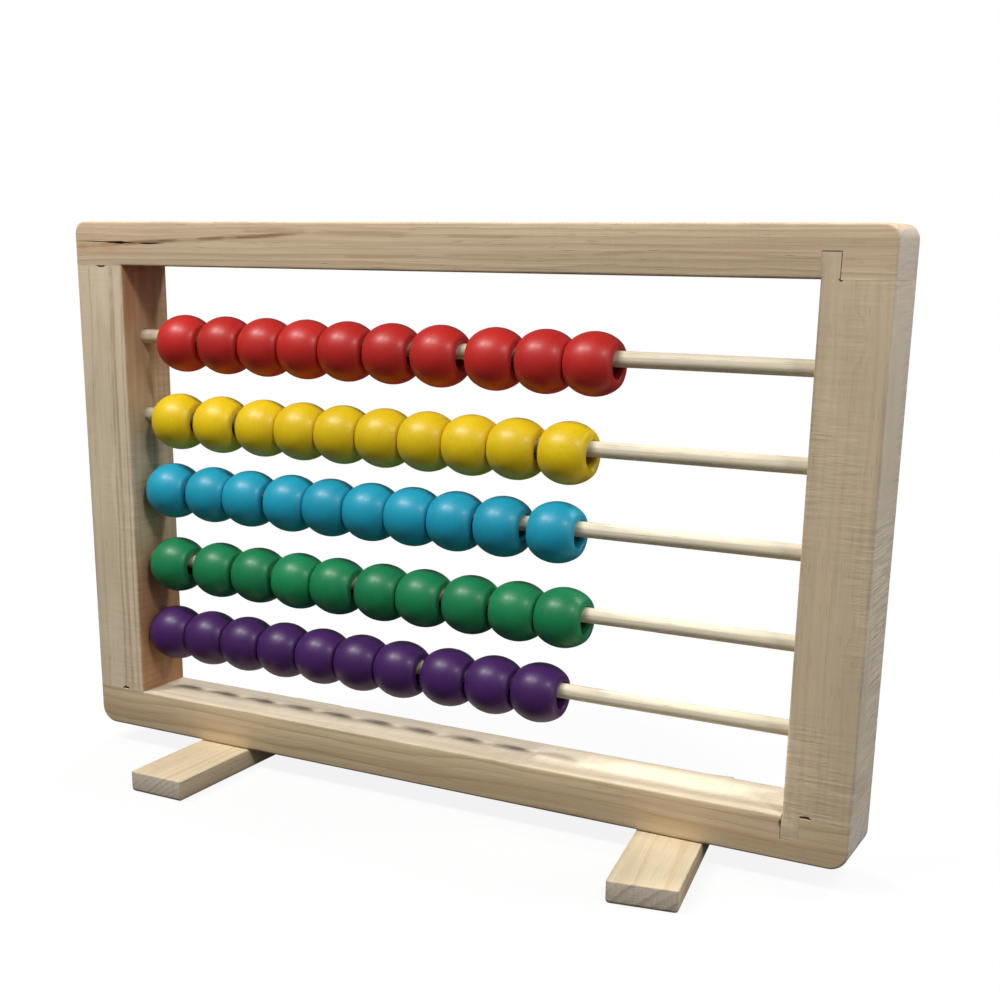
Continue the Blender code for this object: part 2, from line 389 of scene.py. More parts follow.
def wood(name, axis, half, heart, seed, pale, dark, blush, **look):
    """Solid wood: growth rings round a heart that lies beside the bar, fibres and saw marks.

    axis is the direction of the grain, half the bar's two half sizes across it, and heart the
    place of the rings' centre across it, all in millimetres from the bar's middle. u runs along
    the first of the two directions across, which is Z on a rail and X on the others.
    """
    g = Graph(name)
    grain = Grain(g, axis, seed)
    drift = g.split(grain.noise(DRIFT_GRAIN, out=1))
    late = growth_rings(g, grain, heart, drift, look)
    fibre = grain.noise(FIBRE_GRAIN, 5.0, 0.62)
    fleck = g.ease(grain.noise(FLECK_GRAIN, 1.0), 0.67, 0.76)
    saw = saw_marks(g, grain, look.get("sawn_front", 0.3))
    sawn = look.get("sawn", 0.5)

    colour = g.mix(g.times(late, look.get("ring_depth", 0.5)), pale, dark)
    band = g.ease(grain.noise(BAND_GRAIN, 3.0), 0.38, 0.66)
    colour = g.mix(g.times(band, BLUSH_SHARE), colour, blush)
    for stain in look.get("stains", ()):
        colour = add_stain(g, grain, colour, *stain)
    # The face that u points out of is recoloured, partly its wood tone and partly painted light and shade
    if "face" in look:
        colour = add_face_tint_and_light(g, grain, colour, *look["face"])
    for scar in look.get("scars", ()):
        colour = add_scar(g, grain, colour, drift, *scar)
    shade = g.times(
        g.vary(fibre, look.get("fibre", 0.40)),
        g.vary(grain.noise(CLOUD_GRAIN), 0.22),
        g.line(saw, 0.9 * sawn, 1.0),
        g.line(fleck, -0.16, 1.0),
        edge_wear(g, grain, half),
    )
    end = g.ease(g.size(grain.along_normal), 0.55, 0.85)
    pores = grain.noise(PORE_GRAIN, 3.0, 0.7)
    colour = g.mix(end, g.dim(colour, shade), end_grain(g, grain, seed, late, pores, look))

    height = g.line(fibre, 0.55, g.times(saw, 1.3 * sawn))
    height = g.line(late, 0.25, height)
    height = g.line(fleck, -0.5, height)
    height = g.line(g.times(pores, end), 1.2, height)
    roughness = g.line(fibre, 0.22, look.get("roughness", 0.50))
    return g.finish(colour, roughness, height, WOOD_BUMP, Specular_IOR_Level=0.35)


BLUSH = rgb(0.60, 0.44, 0.295)

# Stains are (low, high, tint, share), a face tint, partly painted light and shade, is (tint, share,
# plain), and scars are (start, end, first_u, slope, width, tint, share)
TOP_RAIL_WOOD = wood(
    "top_rail_wood", "X", (9.35, 15), (-70, 6), 1,
    pale=rgb(0.645, 0.51, 0.345), dark=rgb(0.45, 0.315, 0.19), blush=BLUSH,
    ring_width=2.6, ring_depth=0.62, wander=7.0, sawn=0.4,
    stains=(
        (-4.6, -2.8, rgb(0.36, 0.22, 0.12), 0.3),
        (0.9, 1.3, rgb(0.34, 0.21, 0.115), 0.5),
    ),
    scars=(
        (-181.0, -50.0, -2.2, 0.05, 1.1, rgb(0.27, 0.15, 0.07), 0.85),
        (-181.0, -140.0, -3.0, 0.0, 4.5, rgb(0.60, 0.38, 0.21), 0.7),
        (-90.0, 60.0, 5.2, -0.01, 1.2, rgb(0.36, 0.24, 0.13), 0.5),
        (-40.0, 181.0, -4.0, 0.012, 0.9, rgb(0.36, 0.24, 0.13), 0.4),
    ),
    end_pale=rgb(0.66, 0.58, 0.48), end_dark=rgb(0.54, 0.47, 0.38),
)
LEFT_STILE_WOOD = wood(
    "left_stile_wood", "Z", (13, 15), (-3, 34), 2,
    pale=rgb(0.71, 0.60, 0.44), dark=rgb(0.46, 0.37, 0.23), blush=rgb(0.64, 0.52, 0.365),
    ring_width=4.2, ring_depth=0.6, wander=12.0, sawn=0.8, sawn_front=0.6,
    # The inner face is browner, most towards the rails: partly heartwood, partly painted shade
    face=(rgb(0.50, 0.255, 0.115), 0.95, 66.0),
    scars=(
        (-200.0, 200.0, 3.0, 0.008, 0.9, rgb(0.34, 0.29, 0.17), 0.55),
        (-200.0, 200.0, 8.2, -0.006, 1.1, rgb(0.36, 0.30, 0.17), 0.6),
        (-200.0, 200.0, 10.4, 0.004, 0.8, rgb(0.38, 0.30, 0.17), 0.5),
        (-200.0, 200.0, -6.0, 0.0, 0.8, rgb(0.42, 0.35, 0.21), 0.3),
    ),
)
RIGHT_STILE_WOOD = wood(
    "right_stile_wood", "Z", (13, 15), (70, -20), 3,
    pale=rgb(0.67, 0.545, 0.375), dark=rgb(0.50, 0.375, 0.235), blush=rgb(0.61, 0.48, 0.33),
    ring_width=3.6, ring_depth=0.45, wander=8.0, sawn=1.5, sawn_front=0.65, fibre=0.24,
    knots=((79, 2, -15, 7.0, 5.0), (-20, 6, -15, 6.0, 3.0)),
    # The outer side is paler and greyer: partly weathered wood, partly painted cool light
    face=(rgb(0.66, 0.58, 0.47), 0.9, 0.0),
)
BOTTOM_RAIL_WOOD = wood(
    "bottom_rail_wood", "X", (9, 15), (60, -40), 4,
    pale=rgb(0.67, 0.535, 0.345), dark=rgb(0.47, 0.32, 0.175), blush=BLUSH,
    ring_width=3.8, ring_depth=0.6, wander=12.0, sawn=0.3,
    # The top face is paler: partly the wood's own tone, partly painted light
    face=(rgb(0.83, 0.735, 0.58), 0.9, 0.0),
    stains=((-4.5, -1.0, rgb(0.50, 0.33, 0.17), 0.4),),
    end_pale=rgb(0.74, 0.67, 0.58), end_dark=rgb(0.52, 0.46, 0.39),
)
LEFT_FOOT_WOOD = wood(
    "left_foot_wood", "Y", (13.75, 4.7), (45, -64), 5,
    pale=rgb(0.77, 0.645, 0.445), dark=rgb(0.60, 0.42, 0.22), blush=BLUSH,
    ring_width=2.1, wander=5.0, sawn=0.2,
)
RIGHT_FOOT_WOOD = wood(
    "right_foot_wood", "Y", (13.75, 4.7), (40, -46), 6,
    pale=rgb(0.77, 0.655, 0.455), dark=rgb(0.62, 0.44, 0.23), blush=BLUSH,
    ring_width=3.4, wander=5.0, sawn=0.2,
)
ROD_WOOD = wood(
    "rod_wood", "X", (3.2, 3.2), (20, 14), 7,
    pale=rgb(0.76, 0.69, 0.535), dark=rgb(0.61, 0.50, 0.335), blush=rgb(0.73, 0.645, 0.48),
    ring_width=1.6, ring_depth=0.35, wander=2.0, sawn=0.1, roughness=0.42,
)


# ---------------------------------------------------------------- paint and steel

# Features a millimetre in the paint's noises, along the bead's x, y and z
TOOL_LINES = (2.6, 0.03, 0.03)
PAINT_GRAIN = (1.0, 0.9, 0.10)
PAINT_DASHES = (2.0, 2.0, 0.28)
PAINT_CLOUD = (0.13, 0.13, 0.13)
PAINT_SCUFFS = (0.6, 0.6, 0.6)
BEAD_STEP = 940.0
PAINT_BUMP = 0.05 * MM
STEEL_BUMP = 0.02 * MM


def bead_paint(name, colour, pale):
    """Satin paint on a turned ball, which shows fine tool lines and some of the grain beneath.

    The mesh carries three numbers: tone differs from bead to bead, rim is 1 on the worn edges,
    and bore is 1 inside the hole, where the paint is darkened as painted shade.
    """
    g = Graph(name)
    tone, rim, bore = [g.node("Attribute", out=2, attribute_name=key) for key in ("tone", "rim", "bore")]
    x, y, z = g.millimetres()
    place = (g.line(tone, BEAD_STEP, x), y, z)
    lines = g.noise(place, TOOL_LINES, 2.0, 0.6)
    grain = g.noise(place, PAINT_GRAIN, 3.0, 0.6)
    dash = g.ease(g.noise(place, PAINT_DASHES, 1.0), 0.66, 0.76)
    scuff = g.ease(g.noise(place, PAINT_SCUFFS, 4.0, 0.7), 0.64, 0.74)
    shade = g.times(
        g.vary(grain, 0.22),
        g.vary(g.noise(place, PAINT_CLOUD), 0.20),
        g.vary(tone, 0.16),
        g.line(dash, -0.14, 1.0),
    )
    thin = g.math("MAXIMUM", g.times(rim, g.line(scuff, 0.4, 0.22)), g.times(scuff, 0.10))
    painted = g.mix(thin, g.dim(colour, shade), pale)
    # Painted shade: the paint is darkened inside the bore, less so at its mouth
    painted = g.mix(g.times(bore, 0.65), painted, g.dim(colour, 0.35))
    height = g.line(dash, -0.5, g.line(lines, 0.5, g.times(grain, 0.6)))
    roughness = g.line(grain, 0.14, g.line(scuff, 0.10, 0.36))
    shine = {"Specular_IOR_Level": 0.36, "Coat_Weight": 0.10, "Coat_Roughness": 0.24}
    return g.finish(painted, roughness, height, PAINT_BUMP, 0.8, **shine)


PAINTS = {
    "red": bead_paint("red_bead_paint", rgb(0.50, 0.020, 0.016), rgb(0.70, 0.13, 0.10)),
    "yellow": bead_paint("yellow_bead_paint", rgb(0.745, 0.525, 0.004), rgb(0.84, 0.66, 0.13)),
    "blue": bead_paint("blue_bead_paint", rgb(0.010, 0.33, 0.50), rgb(0.14, 0.52, 0.66)),
    "green": bead_paint("green_bead_paint", rgb(0.008, 0.22, 0.080), rgb(0.10, 0.40, 0.22)),
    "purple": bead_paint("purple_bead_paint", rgb(0.060, 0.014, 0.115), rgb(0.19, 0.10, 0.28)),
}


def screw_steel():
    """Zinc-plated steel, brushed by its driver and a little dull."""
    g = Graph("zinc_plated_steel")
    place = g.millimetres()
    patch = g.noise(place, (1.0, 1.0, 1.0), 4.0, 0.6)
    fine = g.noise(place, (9.0, 9.0, 9.0))
    colour = g.mix(patch, rgb(0.50, 0.49, 0.46), rgb(0.66, 0.64, 0.58))
    roughness = g.line(patch, 0.3, 0.22)
    return g.finish(colour, roughness, fine, STEEL_BUMP, 0.5, Metallic=1.0)


STEEL = screw_steel()


# ---------------------------------------------------------------- mesh helpers


def new_object(name, mesh, material=None):
    made = bpy.data.objects.new(name, mesh)
    bpy.context.scene.collection.objects.link(made)
    if material:
        give(made, material)
    return made


def mesh_of(name, bm):
    mesh = bpy.data.meshes.new(name)
    bm.to_mesh(mesh)
    bm.free()
    return mesh


def tool_of(bm):
    """A cutter, which combine removes again."""
    return new_object("tool", mesh_of("tool", bm))


def give(piece, material):
    piece.data.materials.clear()
    piece.data.materials.append(material)


def apply_modifiers(piece):
    found = bpy.context.evaluated_depsgraph_get()
    mesh = bpy.data.meshes.new_from_object(piece.evaluated_get(found))
    piece.modifiers.clear()
    piece.data = mesh


def combine(piece, tool, operation="DIFFERENCE"):
    """Cuts, joins or intersects the piece with the tool, and removes the tool."""
    step = piece.modifiers.new(operation.lower(), "BOOLEAN")
    step.operation = operation
    step.object = tool
    step.solver = "EXACT"
    apply_modifiers(piece)
    bpy.data.objects.remove(tool)


def add_box(bm, low, high):
    low, high = Vector(low), Vector(high)
    place = Matrix.Translation((low + high) / 2) @ Matrix.Diagonal((*(high - low), 1.0))
    bmesh.ops.create_cube(bm, size=1.0, matrix=place)


def box_tool(*boxes):
    bm = bmesh.new()
    for low, high in boxes:
        add_box(bm, low, high)
    return tool_of(bm)


def add_cone(bm, start, end, radius, end_radius, sides):
    start, end = Vector(start), Vector(end)
    turn = (end - start).to_track_quat("Z", "Y").to_matrix().to_4x4()
    bmesh.ops.create_cone(
        bm,
        cap_ends=True,
        segments=sides,
        radius1=radius,
        radius2=end_radius,
        depth=(end - start).length,
        matrix=Matrix.Translation((start + end) / 2) @ turn,
    )


def circle(radius, sides):
    """Points round a circle, as pairs."""
    return [(radius * cos(tau * i / sides), radius * sin(tau * i / sides)) for i in range(sides)]


def skin(bm, loops, closed=False):
    """Faces between neighbouring loops of vertices. An open skin gets a cap at each end."""
    pairs = list(zip(loops, loops[1:]))
    if closed:
        pairs.append((loops[-1], loops[0]))
    for a, b in pairs:
        for i in range(len(a)):
            j = (i + 1) % len(a)
            bm.faces.new((a[i], a[j], b[j], b[i]))
    if not closed:
        bm.faces.new(loops[0])
        bm.faces.new(loops[-1])
    bmesh.ops.recalc_face_normals(bm, faces=bm.faces)


def centre_origin(piece, centre):
    """Puts the piece's origin at the centre, which is where its material's grain is counted from."""
    piece.data.transform(Matrix.Translation(-Vector(centre)))
    piece.location = centre


def smooth(piece, angle=SHARP_ANGLE):
    piece.data.shade_smooth()
    piece.data.set_sharp_from_angle(angle=angle)


def place_piece(piece, body, slot, *nodes):
    """Hands the finished piece to the frame: what it rides on and what it stands for. The slot is not used.
    """
    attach(piece, body)
    if nodes:
        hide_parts(*nodes)


# ---------------------------------------------------------------- frame bars


def frame_outline():
    """The frame's outer outline as (x, z), anticlockwise from the lower left corner."""
    corners = (
        (-1, FRAME_BOTTOM, 1, BOTTOM_CORNER_RADIUS, pi),
        (1, FRAME_BOTTOM, 1, BOTTOM_CORNER_RADIUS, 1.5 * pi),
        (1, FRAME_TOP, -1, TOP_CORNER_RADIUS, 0.0),
        (-1, FRAME_TOP, -1, TOP_CORNER_RADIUS, 0.5 * pi),
    )
    points = []
    for side, z, up, radius, start in corners:
        x = side * (HALF_WIDTH - radius)
        for i in range(CORNER_SEGMENTS + 1):
            angle = start + pi / 2 * i / CORNER_SEGMENTS
            points.append((x + radius * cos(angle), z + up * radius + radius * sin(angle)))
    return points


def glued_frame():
    """The whole frame as one ring with eased edges, as it is after sanding. Bars are cut out of it."""
    bm = bmesh.new()
    front = bm.faces.new([bm.verts.new((x, -HALF_DEPTH, z)) for x, z in frame_outline()])
    moved = bmesh.ops.extrude_face_region(bm, geom=[front])["geom"]
    back = [v for v in moved if isinstance(v, bmesh.types.BMVert)]
    bmesh.ops.translate(bm, verts=back, vec=(0, 2 * HALF_DEPTH, 0))
    bmesh.ops.recalc_face_normals(bm, faces=bm.faces)
    ring = new_object("glued_frame", mesh_of("glued_frame", bm))
    reach = HALF_DEPTH + PAST
    combine(ring, box_tool(((-INNER_X, -reach, OPENING_BOTTOM), (INNER_X, reach, OPENING_TOP))))
    bm = bmesh.new()
    bm.from_mesh(ring.data)
    arrises = [
        e
        for e in bm.edges
        if len(e.link_faces) == 2
        and e.calc_face_angle(0.0) > radians(60)
        and abs(e.verts[0].co.y - e.verts[1].co.y) < 0.1 * MM
    ]
    bmesh.ops.bevel(
        bm, geom=arrises, offset=EASED_EDGE, segments=EASED_SEGMENTS, profile=0.5, affect="EDGES"
    )
    bm.to_mesh(ring.data)
    bm.free()
    return ring


def tongue_range(end, gap=0.0):
    """The tongue's low and high z, widened by the gap at its blind end."""
    if end > 0:
        return OPENING_TOP - TONGUE_HEIGHT / 2, OPENING_TOP + TONGUE_HEIGHT + gap
    return OPENING_BOTTOM - TONGUE_HEIGHT - gap, OPENING_BOTTOM + TONGUE_HEIGHT / 2


def tongue(side, end, tip_gap=0.0, outer_gap=0.0, inner_gap=0.0):
    """The box of a stile's tongue, or with gaps of the groove round it.

    The left stile's tongues stop short of the front face.
    """
    inner = side * (INNER_X - inner_gap)
    outer = side * (INNER_X + TONGUE_WIDTH + outer_gap)
    low, high = tongue_range(end, tip_gap)
    reach = HALF_DEPTH + PAST
    front = -HALF_DEPTH + HIDDEN_TONGUE_DEPTH if side < 0 else -reach
    return (min(inner, outer), front, low), (max(inner, outer), reach, high)


# How far each groove stands open at its tip, its outer side and its inner side
GROOVES = {
    (1, 1): (0.34 * MM, 0.30 * MM, 0.06 * MM),
    (-1, 1): (0.08 * MM, 0.10 * MM, 0.05 * MM),
    (1, -1): (0.22 * MM, 0.08 * MM, 0.30 * MM),
    (-1, -1): (0.08 * MM, 0.12 * MM, 0.06 * MM),
}


def stile(name, side, ring):
    piece = new_object(name, ring.data.copy())
    reach = HALF_DEPTH + PAST
    x = sorted((side * INNER_X - side * PAST, side * (HALF_WIDTH + PAST)))
    keep = box_tool(((x[0], -reach, OPENING_BOTTOM + HAIRLINE), (x[1], reach, OPENING_TOP - HAIRLINE)))
    for end in (-1, 1):
        combine(keep, box_tool(tongue(side, end)), "UNION")
    combine(piece, keep, "INTERSECT")
    return piece


def rail(name, end, ring):
    piece = new_object(name, ring.data.copy())
    reach = HALF_DEPTH + PAST
    low, high = (OPENING_TOP, FRAME_TOP + PAST) if end > 0 else (FRAME_BOTTOM - PAST, OPENING_BOTTOM)
    keep = box_tool(((-HALF_WIDTH - PAST, -reach, low), (HALF_WIDTH + PAST, reach, high)))
    combine(piece, keep, "INTERSECT")
    for side in (-1, 1):
        tip, outer, inner = GROOVES[side, end]
        combine(piece, box_tool(tongue(side, end, tip, outer, inner)))
    return piece


def pit(centre, size, seed):
    """A ragged little hollow, as a torn-out chip leaves."""
    bm = bmesh.new()
    bmesh.ops.create_icosphere(bm, subdivisions=3, radius=0.5)
    for v in bm.verts:
        bump = noise.noise(v.co * 4.0 + Vector((seed, 0, 0)))
        v.co *= 1.0 + CHIP_ROUGHNESS * bump
    place = Matrix.Translation(centre) @ Matrix.Diagonal((*size, 1.0))
    bmesh.ops.transform(bm, matrix=place, verts=bm.verts)
    return tool_of(bm)


def crack(points, front, depth):
    """A crack along the grain in the front face. points are (x, z, width) from one end to the other."""
    bm = bmesh.new()
    loops = []
    for x, z, width in points:
        wide, deep = width / 2, width / 2 * CRACK_TAPER
        section = (
            (front - CRACK_START, z - wide),
            (front - CRACK_START, z + wide),
            (front + depth, z + deep),
            (front + depth, z - deep),
        )
        loops.append([bm.verts.new((x, y, height)) for y, height in section])
    skin(bm, loops)
    return tool_of(bm)


def rod_axis(row):
    """The rod's y and z, from its CAD node."""
    low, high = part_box(f"{row}_rod")
    return (low.y + high.y) / 2, (low.z + high.z) / 2


def drill_rod_holes(piece, side):
    """Holes a little wider than the rods, with a broken edge at the mouth."""
    bm = bmesh.new()
    for row in ROW_NAMES:
        y, z = rod_axis(row)
        start, bottom = side * (INNER_X - 2 * MM), side * (INNER_X + ROD_HOLE_DEPTH)
        add_cone(bm, (start, y, z), (bottom, y, z), ROD_HOLE_RADIUS, ROD_HOLE_RADIUS, HOLE_SIDES)
    combine(piece, tool_of(bm))
    bm = bmesh.new()
    for row in ROW_NAMES:
        y, z = rod_axis(row)
        start, end = side * (INNER_X - ROD_HOLE_MOUTH), side * (INNER_X + ROD_HOLE_MOUTH)
        wide, narrow = ROD_RADIUS + 0.75 * MM, ROD_RADIUS + 0.05 * MM
        add_cone(bm, (start, y, z), (end, y, z), wide, narrow, HOLE_SIDES)
    combine(piece, tool_of(bm))


def crack_top_rail(top):
    """The old crack near the rail's left end, in two lengths."""
    front = -HALF_DEPTH
    z = FRAME_TOP - 8.6 * MM
    x = -HALF_WIDTH
    long_crack = (
        (x + 1.4 * MM, z + 0.2 * MM, 0.10 * MM),
        (x + 8 * MM, z + 0.15 * MM, 0.35 * MM),
        (x + 17 * MM, z - 0.1 * MM, 0.55 * MM),
        (x + 21 * MM, z - 0.2 * MM, 1.1 * MM),
        (x + 26.5 * MM, z - 0.35 * MM, 1.8 * MM),
        (x + 28.6 * MM, z - 0.3 * MM, 0.7 * MM),
        (x + 35 * MM, z - 0.5 * MM, 0.2 * MM),
    )
    short_crack = (
        (x + 36 * MM, z - 0.5 * MM, 0.2 * MM),
        (x + 40 * MM, z - 0.6 * MM, 1.0 * MM),
        (x + 43.5 * MM, z - 0.65 * MM, 0.9 * MM),
        (x + 51 * MM, z - 0.4 * MM, 0.15 * MM),
    )
    combine(top, crack(long_crack, front, 4.0 * MM))
    combine(top, crack(short_crack, front, 3.0 * MM))


def chip_bars(left, right, bottom):
    """The torn places at the joints."""
    left_x, right_x = -HALF_WIDTH, INNER_X + TONGUE_WIDTH
    chips = (
        (left, (left_x + 14.5 * MM, OPENING_TOP - 0.1 * MM), (5.4 * MM, 6 * MM, 1.5 * MM)),
        (left, (left_x + 15.6 * MM, OPENING_BOTTOM + 0.5 * MM), (4.0 * MM, 6 * MM, 2.0 * MM)),
        (right, (right_x + 2.2 * MM, OPENING_BOTTOM + 0.3 * MM), (4.4 * MM, 8 * MM, 2.3 * MM)),
        (right, (right_x + 0.3 * MM, OPENING_TOP), (1.8 * MM, 4 * MM, 1.2 * MM)),
        (bottom, (INNER_X - 0.6 * MM, OPENING_BOTTOM - 3.6 * MM), (1.2 * MM, 4 * MM, 3.8 * MM)),
    )
    for number, (bar, (x, z), size) in enumerate(chips):
        combine(bar, pit((x, -HALF_DEPTH, z), size, 3.7 * number))


def make_frame_bars():
    ring = glued_frame()
    top_middle = (0, 0, (OPENING_TOP + FRAME_TOP) / 2)
    bottom_middle = (0, 0, (OPENING_BOTTOM + FRAME_BOTTOM) / 2)
    stile_x = (INNER_X + HALF_WIDTH) / 2
    stile_z = (OPENING_TOP + OPENING_BOTTOM) / 2

    top = rail("top_rail", 1, ring)
    left = stile("left_stile", -1, ring)
    right = stile("right_stile_bar", 1, ring)
    bottom = rail("bottom_rail_bar", -1, ring)
    bpy.data.objects.remove(ring)
    crack_top_rail(top)
    chip_bars(left, right, bottom)
    drill_rod_holes(left, -1)
    drill_rod_holes(right, 1)

    bars = (
        (top, top_middle, TOP_RAIL_WOOD, ("top_rail_and_left_stile",)),
        (left, (-stile_x, 0, stile_z), LEFT_STILE_WOOD, ("top_rail_and_left_stile",)),
        (right, (stile_x, 0, stile_z), RIGHT_STILE_WOOD, ("right_stile",)),
        (bottom, bottom_middle, BOTTOM_RAIL_WOOD, ("bottom_rail",)),
    )
    for bar, middle, material, nodes in bars:
        give(bar, material)
        centre_origin(bar, middle)
        smooth(bar)
        place_piece(bar, "frame", "frame_wood", *nodes)


# ---------------------------------------------------------------- rods and beads


def revolve(name, rings, sides, closed):
    """A surface turned about X through rings of (x, radius). Closed rings meet end to end, as in a bead."""
    bm = bmesh.new()
    skin(bm, [[bm.verts.new((x, y, z)) for y, z in circle(radius, sides)] for x, radius in rings], closed)
    return mesh_of(name, bm)


def make_rod(row, number):
    low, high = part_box(f"{row}_rod")
    middle = (low + high) / 2
    half = high.x - middle.x
    start, span = -half + ROD_END_BEVEL, 2 * (half - ROD_END_BEVEL)
    rings = [(-half, ROD_RADIUS - ROD_END_BEVEL)]
    rings += [(start + span * i / ROD_RINGS, ROD_RADIUS) for i in range(ROD_RINGS + 1)]
    rings.append((half, ROD_RADIUS - ROD_END_BEVEL))
    rod = new_object(f"{row}_rod_dowel", revolve(f"{row}_rod_dowel", rings, ROD_SIDES, False), ROD_WOOD)
    for v in rod.data.vertices:
        # A dowel is neither quite round nor quite straight
        slow = noise.noise(Vector((v.co.x * 14, number * 5.3, 0)))
        flat = noise.noise(Vector((v.co.x * 60, v.co.y * 240, v.co.z * 240 + number)))
        squeeze = 1.0 - ROD_SHRINKAGE - ROD_UNEVENNESS * flat
        v.co.y = v.co.y * squeeze + ROD_BEND[0] * slow
        v.co.z = v.co.z * squeeze - ROD_BEND[1] * slow
    rod.location = middle
    smooth(rod, radians(40))
    place_piece(rod, "frame", "rod_wood", f"{row}_rod")


def rounded(before, corner, after, reach, steps=5):
    """Points on a curve that rounds a corner, starting and ending at reach from it."""
    before, corner, after = Vector(before), Vector(corner), Vector(after)
    start = corner + (before - corner).normalized() * reach
    end = corner + (after - corner).normalized() * reach
    made = []
    for i in range(steps + 1):
        t = i / steps
        made.append((start * (1 - t) ** 2 + corner * 2 * t * (1 - t) + end * t * t)[:])
    return made


def bead_rings(radius, half):
    """The bead's section as (x, radius, rim, bore), round the outside and back through the bore."""
    flat = acos(half / BEAD_HALF_AXIS)
    ring_edge = radius * sin(flat)
    shoulder = RIM_ROUND / radius
    rings = []
    for end in (1, -1):
        # From the middle of the ball out to one end, and from there into the bore
        turn = (pi / 2 - flat - shoulder) / BEAD_ARC_STEPS
        arc = [pi / 2 - turn * i for i in range(BEAD_ARC_STEPS + 1)]
        half_ring = [(end * BEAD_HALF_AXIS * cos(a), radius * sin(a), 0.0, 0.0) for a in arc]
        before = (BEAD_HALF_AXIS * cos(flat + shoulder), radius * sin(flat + shoulder))
        outer = rounded(before, (half, ring_edge), (half, BORE_RADIUS), RIM_ROUND * RIM_REACH)
        half_ring += [(end * x, r, 0.35, 0.0) for x, r in outer]
        mouth = rounded((half, ring_edge), (half, BORE_RADIUS), (0, BORE_RADIUS), MOUTH_ROUND)
        shares = [i / (len(mouth) - 1) for i in range(len(mouth))]
        half_ring += [(end * x, r, 1.0 - 0.6 * t, 0.5 * t) for t, (x, r) in zip(shares, mouth)]
        half_ring += [(end * half * s, BORE_RADIUS, 0.0, 1.0) for s in (0.7, 0.4)]
        rings.append(half_ring)
    forward, backward = rings
    return forward + [(0.0, BORE_RADIUS, 0.0, 1.0)] + backward[:0:-1]


def make_bead(row, number, random):
    node = f"{row}_bead_{number:02d}"
    low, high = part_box(node)
    middle = (low + high) / 2
    radius = (high.z - low.z) / 2 * (1 - BEAD_UNEVENNESS * random.random())
    half = (high.x - low.x) / 2 - BEAD_END_INSET
    rings = bead_rings(radius, half)
    mesh = revolve(f"{node}_ball", [(x, r) for x, r, _, _ in rings], BEAD_SIDES, True)
    tone = random.random()
    columns = {
        "tone": [tone] * len(mesh.vertices),
        "rim": [rim for _, _, rim, _ in rings for _ in range(BEAD_SIDES)],
        "bore": [bore for _, _, _, bore in rings for _ in range(BEAD_SIDES)],
    }
    for key, values in columns.items():
        mesh.attributes.new(key, "FLOAT", "POINT").data.foreach_set("value", values)
    bead = new_object(f"{node}_ball", mesh, PAINTS[row])
    bead.location = middle
    spin = random.uniform(0, tau)
    tilt = random.uniform(-BEAD_TILT, BEAD_TILT)
    bead.rotation_euler = (spin, tilt, random.uniform(-BEAD_SWING, BEAD_SWING))
    smooth(bead, radians(60))
    place_piece(bead, node, f"{row}_paint", node)


# ---------------------------------------------------------------- feet


def edge_share(edge):
    """How much of the foot's widest rounding this edge of the plain bar gets."""
    low, high = sorted(v.co.z for v in edge.verts)
    if high - low > MM:
        return FOOT_UPRIGHT_SHARE
    return FOOT_TOP_SHARE if low > 0 else 1.0


def plane_foot(foot, half, seed):
    """Hand planing: the foot's top and sides aren't quite flat, its underside is."""
    bm = bmesh.new()
    bm.from_mesh(foot.data)
    for axis, slices in ((1, FOOT_SLICES[1]), (0, FOOT_SLICES[0])):
        for i in range(1, slices):
            place, normal = Vector((0, 0, 0)), Vector((0, 0, 0))
            place[axis] = half[axis] * (2 * i / slices - 1)
            normal[axis] = 1
            everything = bm.verts[:] + bm.edges[:] + bm.faces[:]
            bmesh.ops.bisect_plane(bm, geom=everything, plane_co=place, plane_no=normal)
    for v in bm.verts:
        wave = noise.noise(v.co * 26 + Vector((seed, 0, 0)))
        if v.co.z > 0:
            v.co.z -= FOOT_WAVE * (0.5 + wave)
        v.co.x *= 1.0 - FOOT_UNEVENNESS * (0.5 + 0.5 * wave)
    bm.to_mesh(foot.data)
    bm.free()


def make_foot(name, material, seed):
    low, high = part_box(name)
    centre = Vector(((low.x + high.x) / 2, 0, (low.z + high.z) / 2))
    half = Vector(FOOT_SIZE) / 2
    bm = bmesh.new()
    add_box(bm, -half, half)
    weights = [edge_share(e) for e in bm.edges]
    foot = new_object(f"{name}_bar", mesh_of(f"{name}_bar", bm))
    foot.data.attributes.new("bevel_weight_edge", "FLOAT", "EDGE").data.foreach_set("value", weights)
    ease = foot.modifiers.new("ease", "BEVEL")
    ease.limit_method = "WEIGHT"
    ease.width = FOOT_EDGE
    ease.segments = FOOT_SEGMENTS
    apply_modifiers(foot)
    plane_foot(foot, half, seed)
    bm = bmesh.new()
    add_cone(bm, (0, 0, -half.z - PAST), (0, 0, half.z + PAST), HOLE_RADIUS, HOLE_RADIUS, HOLE_SIDES)
    combine(foot, tool_of(bm))
    bm = bmesh.new()
    over = 1 * MM
    wide = COUNTERSINK_RADIUS + (COUNTERSINK_RADIUS - HOLE_RADIUS) / COUNTERSINK_DEPTH * over
    start, end = (0, 0, -half.z - over), (0, 0, -half.z + COUNTERSINK_DEPTH)
    add_cone(bm, start, end, wide, HOLE_RADIUS, HOLE_SIDES)
    combine(foot, tool_of(bm))
    give(foot, material)
    foot.location = centre
    foot.rotation_euler = (0, 0, FOOT_TURNS[name])
    smooth(foot)
    place_piece(foot, name, "foot_wood", name)


